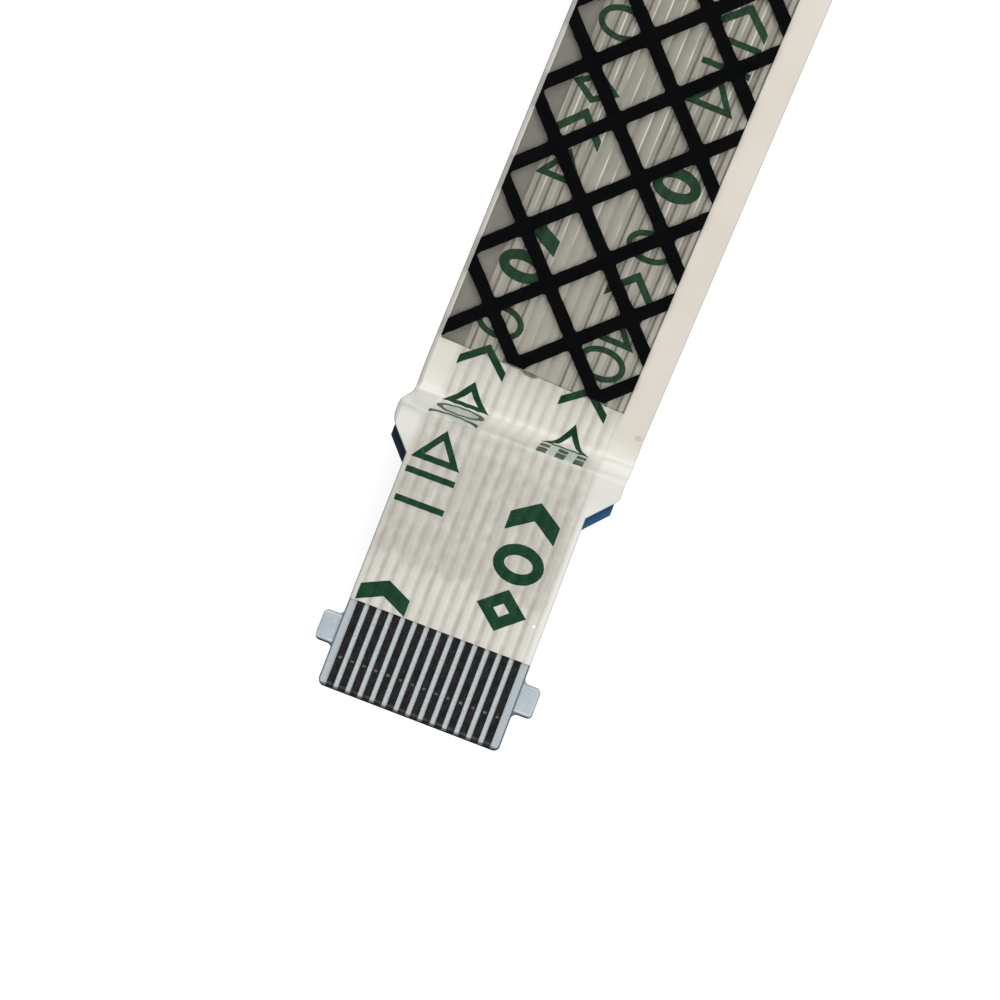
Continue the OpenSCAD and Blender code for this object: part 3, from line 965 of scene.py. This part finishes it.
def lattice_flat():
    """The lattice as one flat mesh, trimmed to the liner."""
    columns = math.ceil((liner_s[1] - liner_s[0]) / diamond_l) + 2
    rows = math.ceil((liner_high[1] - liner_low[1]) / diamond_w) + 1
    stops = slant_stops(-rows, columns + rows)
    work = bmesh.new()
    verts = {}

    def vertex(i, j):
        if (i, j) not in verts:
            verts[i, j] = work.verts.new(lattice_point(stops[i][0], stops[j][0]))
        return verts[i, j]

    for i in range(len(stops) - 1):
        for j in range(len(stops) - 1):
            a = (stops[i][0] + stops[i + 1][0]) / 2
            b = (stops[j][0] + stops[j + 1][0]) / 2
            across = abs(a - b) * diamond_w / 2
            on_a, on_b = stops[i][1], stops[j][1]
            before_first = a + b < -0.01 and not (on_a and on_b)
            if (on_a or on_b) and not before_first and across < rows * diamond_w and a + b < 2 * columns:
                work.faces.new((vertex(i, j), vertex(i + 1, j), vertex(i + 1, j + 1), vertex(i, j + 1)))
    trims = (
        ((liner_s[0] + bare_start, 0, 0), (-1, 0, 0)),
        ((liner_s[1], 0, 0), (1, 0, 0)),
        ((0, liner_low[1], 0), (0, -1, 0)),
        ((0, liner_high[1], 0), (0, 1, 0)),
    )
    for point, outward in trims:
        everything = work.verts[:] + work.edges[:] + work.faces[:]
        bmesh.ops.bisect_plane(work, geom=everything, plane_co=point, plane_no=outward, clear_outer=True)
    bmesh.ops.remove_doubles(work, verts=work.verts, dist=1e-4)
    bmesh.ops.recalc_face_normals(work, faces=work.faces)
    return work


flat_lattice = lattice_flat()
print("lattice", len(flat_lattice.faces), "faces")
print("print lies from", round(print_low, 3), "to", round(print_high, 3), "mm up")

# %% Thicken the lattice and lay it on the liner
raised = bmesh.ops.extrude_face_region(flat_lattice, geom=flat_lattice.faces[:])["geom"]
for item in raised:
    if isinstance(item, bmesh.types.BMVert):
        item.co.z = print_high - print_low
for vert in flat_lattice.verts:
    s, v, h = vert.co
    vert.co = Vector((wide_x + s - wide_s, v, print_low + h)) * MM
bmesh.ops.recalc_face_normals(flat_lattice, faces=flat_lattice.faces)
lattice_mesh = bpy.data.meshes.new("lattice_print")
flat_lattice.to_mesh(lattice_mesh)
flat_lattice.free()
lattice = bpy.data.objects.new("lattice_print", lattice_mesh)
scene.collection.objects.link(lattice)
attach(lattice, "root")
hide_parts("liner_lattice")
print("lattice spans", [round(x / MM, 2) for x in lattice.dimensions])

# %% [markdown]
# ## Adhesive and liner
# The liner is a translucent film, a little grey, that lets the ribs and the print under it show. It is
# made see-through with the shader's alpha, which is simpler than glass and keeps what lies under it in
# place. The adhesive is nearly clear. The lattice is thick black ink, almost without gloss.

# %% Liner finishes


def liner_finish():
    made = Finish("translucent_liner", roughness=0.35, Alpha=0.05, Specular_IOR_Level=0.3)
    where = made.place_in_mm()
    cloud = made.noise(made.stretched(where, 0.5, 1.3, 1), 1.0, 5.0)
    made.colour(made.mix(made.ramp(cloud, 0.3, 0.7), (96, 93, 86), (72, 70, 66)))
    made.bump(made.noise(where, 3.0, 3.0), 0.01, 0.35)
    return made


def adhesive_finish():
    made = Finish("clear_adhesive", roughness=0.5, Alpha=0.02)
    where = made.place_in_mm()
    made.colour(made.mix(made.noise(where, 2.0), (150, 146, 136), (128, 125, 118)))
    return made


def lattice_finish():
    made = Finish("black_ink", roughness=0.5, Specular_IOR_Level=0.03)
    where = made.place_in_mm()
    cloud = made.noise(where, 1.4, 4.0)
    made.colour(made.mix(made.ramp(cloud, 0.35, 0.7), (3, 4, 6), (9, 8, 9)))
    made.roughness(made.ramp(cloud, 0.3, 0.7, 0.45, 0.6))
    made.bump(made.noise(where, 9.0, 3.0), 0.004, 0.5)
    return made


finish_node("release_liner", liner_finish())
finish_node("adhesive_layer", adhesive_finish())
lattice.data.materials.append(lattice_finish().material)
print("liner, adhesive and lattice finished")

# %% [markdown]
# ## Printed marks
# Such cables carry two rows of dark green print along the conductors. Here the rows hold plain
# shapes: bars, blocks, rings, chevrons, triangles and diamonds. Each is drawn flat, cut along the ribs'
# columns and the film's sections, thickened to a film of ink, and then wrapped onto the cable like
# the films, so the ones at the step are foreshortened as real print is.

# %% Drawing flat shapes


def bar(s0, s1, v0, v1):
    return [(s0, v0), (s1, v0), (s1, v1), (s0, v1)]


def crossing(a, b, c, d):
    """Where the line through a and b meets the line through c and d."""
    along, other = b - a, d - c
    return a + along * ((c - a).cross(other) / along.cross(other))


def frame_inside(corners, line):
    """A frame of one line's width inside a shape with straight sides, as one flat piece per side."""
    middle = sum((Vector(c) for c in corners), Vector((0, 0))) / len(corners)
    sides = []
    for a, b in zip(corners, corners[1:] + corners[:1]):
        a, b = Vector(a), Vector(b)
        inward = (b - a).orthogonal().normalized()
        if inward.dot(middle - a) < 0:
            inward = -inward
        sides.append((a + inward * line, b + inward * line))
    inner = [tuple(crossing(*sides[i - 1], *sides[i])) for i in range(len(sides))]
    pieces = []
    for i in range(len(corners)):
        j = (i + 1) % len(corners)
        pieces.append([corners[i], corners[j], inner[j], inner[i]])
    return pieces


def ring(half_l, half_w, line, sides=28):
    """An oval ring, as a row of short pieces."""
    turn = [2 * math.pi * i / sides for i in range(sides + 1)]
    outer = [(half_l * math.cos(t), half_w * math.sin(t)) for t in turn]
    inner = [((half_l - line) * math.cos(t), (half_w - line) * math.sin(t)) for t in turn]
    return [[outer[i], outer[i + 1], inner[i + 1], inner[i]] for i in range(sides)]


def triangle(half_l, half_w, line):
    return frame_inside([(-half_l, -half_w), (half_l, 0), (-half_l, half_w)], line)


def diamond(half_l, half_w, line):
    return frame_inside([(-half_l, 0), (0, -half_w), (half_l, 0), (0, half_w)], line)


def bars(half_l, half_w, line):
    return [bar(-half_l, -half_l + line, -half_w, half_w), bar(half_l - line, half_l, -half_w, half_w)]


def chevron(half_l, half_w, line):
    slant = line * math.hypot(half_w, 2 * half_l) / half_w
    slant = min(slant, 1.2 * half_l)
    return [
        [(-half_l, -half_w), (slant - half_l, -half_w), (half_l, 0), (half_l - slant, 0)],
        [(half_l - slant, 0), (half_l, 0), (slant - half_l, half_w), (-half_l, half_w)],
    ]


def blocks(half_l, half_w, line):
    """Two rows of three short blocks."""
    pieces = []
    for v in (-half_w + line, 0, half_w - line):
        pieces.append(bar(-half_l, -line / 2, v - line * 0.8, v + line * 0.8))
        pieces.append(bar(line / 2, half_l, v - line * 0.8, v + line * 0.8))
    return pieces


print("a ring is drawn from", len(ring(0.7, 1, 0.26)), "pieces")

# %% Wrapping ink onto the film
ink_t = 0.006
ink_sunk = 0.004


def ink_piece(name, polygons):
    """Flat polygons in s and v, wrapped onto the cover film as a thin closed layer of ink."""
    work = bmesh.new()
    for polygon in polygons:
        work.faces.new([work.verts.new((s, v, 0)) for s, v in polygon])
    low_s = min(vert.co.x for vert in work.verts)
    high_s = max(vert.co.x for vert in work.verts)
    low_v = min(vert.co.y for vert in work.verts)
    high_v = max(vert.co.y for vert in work.verts)
    cuts = [((0, c, 0), (0, 1, 0)) for c in rib_columns if low_v < c < high_v]
    cuts += [((c, 0, 0), (1, 0, 0)) for c in sections_between(contact_l, cable_l) if low_s < c < high_s]
    for point, normal in cuts:
        geometry = work.verts[:] + work.edges[:] + work.faces[:]
        bmesh.ops.bisect_plane(work, geom=geometry, plane_co=point, plane_no=normal, dist=1e-6)
    bmesh.ops.remove_doubles(work, verts=work.verts, dist=1e-5)
    bmesh.ops.recalc_face_normals(work, faces=work.faces)
    under = work.faces[:]
    raised = bmesh.ops.extrude_face_region(work, geom=under)["geom"]
    for item in raised:
        if isinstance(item, bmesh.types.BMVert):
            item.co.z = ink_t
    for vert in work.verts:
        s, v, h = vert.co
        lift = h if h > 0 else -ink_sunk
        vert.co = place(s, v, rib_height(v, s) + lift)
    bmesh.ops.recalc_face_normals(work, faces=work.faces)
    mesh = bpy.data.meshes.new(name)
    work.to_mesh(mesh)
    work.free()
    made = bpy.data.objects.new(name, mesh)
    scene.collection.objects.link(made)
    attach(made, "root")
    return made


def ink_finish(name, deep, light):
    made = Finish(name, roughness=0.6, Specular_IOR_Level=0.12)
    where = made.place_in_mm()
    cloud = made.noise(where, 2.2, 5.0)
    colour = made.mix(made.ramp(cloud, 0.35, 0.65), deep, light)
    thin_spots = made.ramp(made.noise(where, 11.0, 2.0), 0.62, 0.76, 0.0, 0.5)
    made.colour(made.mix(thin_spots, colour, (78, 120, 96)))
    made.bump(made.noise(where, 12.0, 2.0), 0.003, 0.5)
    return made


green_ink = ink_finish("green_ink", (12, 52, 31), (22, 63, 41))
stretched_ink = ink_finish("stretched_ink", (52, 70, 58), (84, 98, 86))
thin = 0.25
bold = 0.44
mark_w = 2.04
left_row = 2.52
right_row = -1.95

# %% [markdown]
# ### The two rows
# Each mark is a shape, the width of its line, and where it starts and stops along the film. A row
# starts with marks of its own and goes on with a group that repeats along the wide run. Where a mark
# lies on the wall of the step, the ink has been stretched with the film, so it is greyer.

# %% Lay out the marks
left_start = [
    (chevron, bold, 3.53, 4.66),
    (bars, thin, 7.7, 9.15),
    (triangle, thin, 9.55, 10.95),
    (chevron, thin, 11.4, 12.0),
    (ring, thin, 12.15, 13.95),
    (triangle, thin, 14.1, 15.3),
]
left_group = [
    (chevron, thin, 15.65, 16.9),
    (ring, thin, 17.2, 18.6),
    (ring, bold, 19.65, 20.95),
    (chevron, bold, 21.1, 22.3),
    (triangle, thin, 24.0, 25.4),
    (chevron, thin, 25.6, 27.1),
    (diamond, thin, 27.3, 28.6),
    (ring, thin, 29.95, 31.35),
]
right_start = [
    (diamond, bold, 4.25, 5.95),
    (ring, bold, 6.2, 7.78),
    (chevron, bold, 8.12, 9.56),
    (blocks, thin, 11.4, 12.9),
    (triangle, thin, 13.2, 15.2),
]
right_group = [
    (chevron, thin, 15.7, 16.9),
    (ring, thin, 17.2, 18.6),
    (triangle, thin, 18.8, 20.0),
    (chevron, thin, 20.5, 21.9),
    (ring, thin, 22.3, 23.6),
    (ring, bold, 24.9, 26.3),
    (triangle, thin, 28.8, 30.2),
    (bars, thin, 30.4, 31.7),
    (chevron, thin, 31.9, 33.2),
]
group_l = 18


def repeated(group, times=3):
    """The same marks again, each time one group's length further on."""
    row = []
    for turn in range(times):
        shift = turn * group_l
        row += [(shape, line, start + shift, stop + shift) for shape, line, start, stop in group]
    return row


rows = {
    "left": (left_row, left_start + repeated(left_group)),
    "right": (right_row, right_start + repeated(right_group)),
}
print("marks:", {name: len(marks) for name, (v, marks) in rows.items()})

# %% Print the marks
for row_name, (row_v, marks) in rows.items():
    for number, (shape, line, start, stop) in enumerate(marks, 1):
        middle = (start + stop) / 2
        flat_mark = shape((stop - start) / 2, mark_w / 2, line)
        polygons = [[(middle + s, row_v + v) for s, v in polygon] for polygon in flat_mark]
        piece = ink_piece(f"print_{row_name}_{number:02d}", polygons)
        on_wall = wall_s - 0.2 < start < foot_s and stop < foot_s + 0.4
        ink = stretched_ink if on_wall else green_ink
        piece.data.materials.append(ink.material)
print("ink is", ink_t, "mm thick")
